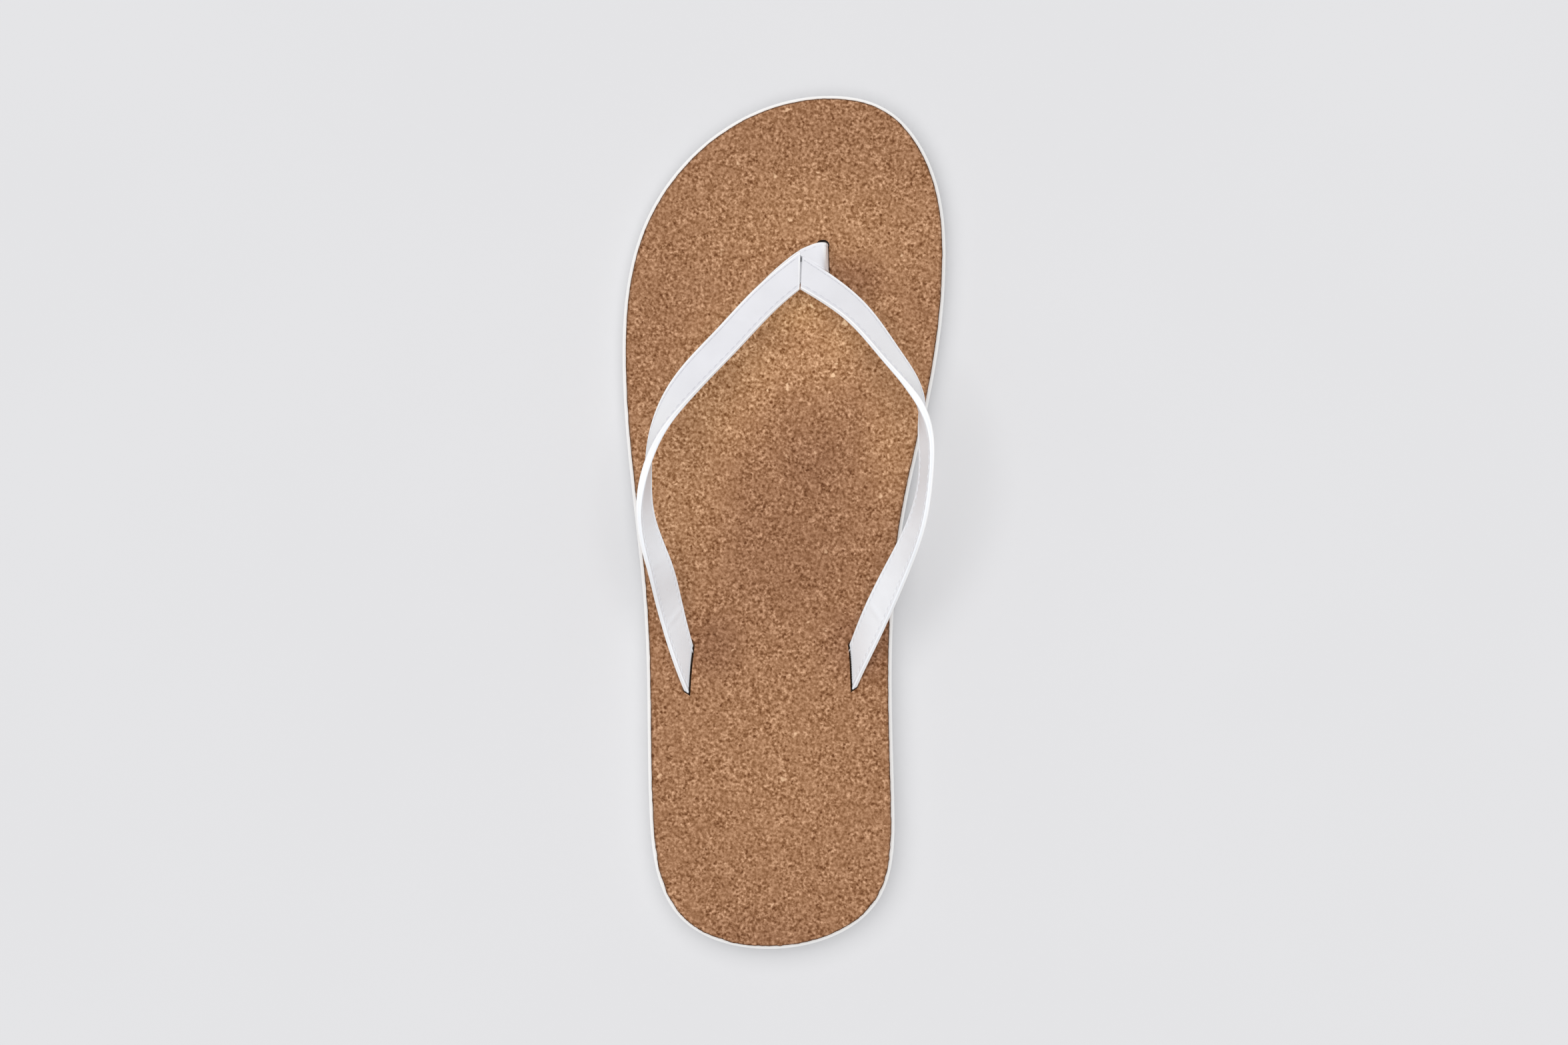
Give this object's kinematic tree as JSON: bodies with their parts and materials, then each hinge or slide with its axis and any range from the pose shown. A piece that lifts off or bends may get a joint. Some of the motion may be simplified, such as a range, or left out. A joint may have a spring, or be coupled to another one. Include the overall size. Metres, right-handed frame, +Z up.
{
  "type": "cork flip-flop sandal",
  "caption": "Flat flip-flop for the left foot: a foam sole, a cork footbed and plain flat straps that join over a toe post.",
  "frame": {"origin": "on the ground plane, under the middle of the sole's outline", "axes": "+Y from heel to toe, +X towards the big toe's side, +Z up"},
  "size_m": [0.0976, 0.2572, 0.0525],
  "materials": {
    "foam": "matt white closed-cell foam with a fine skin",
    "cork": "matt brown pressed cork of fine granules, light and dark flecks",
    "strap": "smooth white coated leather with a soft sheen, stitched near both edges"
  },
  "bodies": {
    "root": {"sole": "foam", "footbed": "cork", "upper": "strap"}
  },
  "joints": []
}
